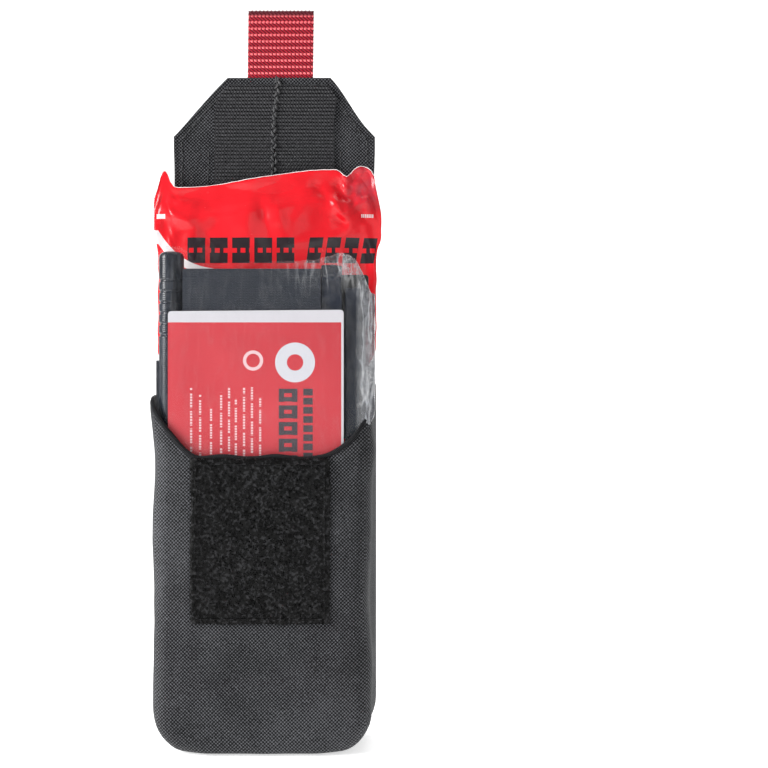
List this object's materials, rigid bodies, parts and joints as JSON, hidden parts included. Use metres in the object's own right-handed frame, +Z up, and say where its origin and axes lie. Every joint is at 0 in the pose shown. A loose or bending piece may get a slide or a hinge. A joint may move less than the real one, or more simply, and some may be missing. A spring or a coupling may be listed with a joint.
{
  "type": "tourniquet kit pouch",
  "caption": "Belt pouch with a fold-over flap holding a film-wrapped windlass tourniquet and a foil gauze packet, shown open with both drawn up.",
  "frame": {"origin": "middle of the flat base that the pouch stands on", "axes": "+Z up along the pouch, +Y towards the wearer (belt side), +X to the right seen from the front"},
  "size_m": [0.084, 0.0424, 0.2821],
  "materials": {
    "cordura": "coarse plain-weave nylon, matte with a slight sheen",
    "lining": "coated nylon",
    "stiffener": "thin polyethylene sheet",
    "binding": "woven edge tape",
    "loop_pile": "fuzzy loop pile",
    "hook_tape": "rows of moulded hooks",
    "thread": "bonded nylon thread",
    "belt_webbing": "ribbed nylon webbing",
    "snap_metal": "black oxide, satin",
    "red_webbing": "ribbed nylon webbing",
    "clear_film": "clear shrink film, glossy",
    "label_card": "printed card, satin",
    "band_webbing": "fine woven webbing",
    "rod": "black anodised, satin",
    "moulded_black": "moulded nylon, fine grain",
    "rivet_metal": "turned, satin",
    "time_strap": "woven writing strap",
    "red_foil": "printed foil laminate, glossy",
    "gauze": "open-weave gauze"
  },
  "bodies": {
    "pouch": {"back_panel": "cordura", "back_stiffener": "stiffener", "back_lining": "lining", "front_shell": "cordura", "mouth_hem": "binding", "seam_binding": "binding", "loop_patch": "loop_pile", "loop_patch_stitching": "thread", "belt_strap_anchor": "belt_webbing", "belt_anchor_stitching": "thread", "snap_studs": "snap_metal"},
    "belt_strap": {"belt_strap": "belt_webbing", "snap_sockets": "snap_metal", "snap_caps": "snap_metal"},
    "flap_bridge": {"flap_bridge_cloth": "cordura", "flap_bridge_lining": "lining"},
    "flap_front": {"flap_cloth": "cordura", "flap_stiffener": "stiffener", "flap_lining": "lining", "hook_tape_left": "hook_tape", "hook_tape_right": "hook_tape", "flap_edge_stitching": "thread", "hook_tape_stitching": "thread"},
    "pull_tab": {"pull_tab": "red_webbing"},
    "tourniquet_pack": {"film_wrap": "clear_film", "label_card": "label_card", "main_band": "band_webbing", "windlass_rod": "rod", "tension_ribbon": "band_webbing", "base_plate": "moulded_black", "plate_rivets": "rivet_metal", "windlass_clip": "moulded_black", "buckle_frame": "moulded_black", "buckle_bar": "rivet_metal", "time_strap": "time_strap", "band_tip": "moulded_black"},
    "gauze_packet": {"packet_foil_front": "red_foil", "packet_foil_back": "red_foil", "folded_gauze": "gauze"}
  },
  "joints": [
    {"name": "tourniquet_stow", "type": "slide", "parent": "pouch", "child": "tourniquet_pack", "axis": [0, 0, -1], "range_m": [0, 0.067]},
    {"name": "gauze_stow", "type": "slide", "parent": "pouch", "child": "gauze_packet", "axis": [0, 0, -1], "range_m": [0, 0.096]},
    {"name": "flap_fold", "type": "hinge", "parent": "pouch", "child": "flap_bridge", "pos_m": [0, 0.01585, 0.125], "axis": [1, 0, 0], "range_deg": [0, 90], "deforming": ["flap_bridge_cloth", "flap_bridge_lining"]},
    {"name": "flap_front_fold", "type": "hinge", "parent": "flap_bridge", "child": "flap_front", "pos_m": [0, 0.01585, 0.1623], "axis": [1, 0, 0], "range_deg": [0, 90], "deforming": ["flap_cloth", "flap_stiffener", "flap_lining", "hook_tape_left", "hook_tape_right", "flap_edge_stitching", "hook_tape_stitching"]},
    {"name": "pull_tab_flex", "type": "hinge", "parent": "flap_front", "child": "pull_tab", "pos_m": [0, 0.01585, 0.25675], "axis": [-1, 0, 0], "range_deg": [-5, 90]},
    {"name": "belt_strap_open", "type": "hinge", "parent": "pouch", "child": "belt_strap", "pos_m": [0, 0.0178, 0.102], "axis": [1, 0, 0], "range_deg": [0, 100]}
  ],
  "couplings": [
    {"joint": "gauze_stow", "follows": "tourniquet_stow", "ratio": 1.4328},
    {"joint": "flap_fold", "follows": "tourniquet_stow", "rad_per_m": 23.445},
    {"joint": "flap_front_fold", "follows": "tourniquet_stow", "rad_per_m": 23.445}
  ]
}
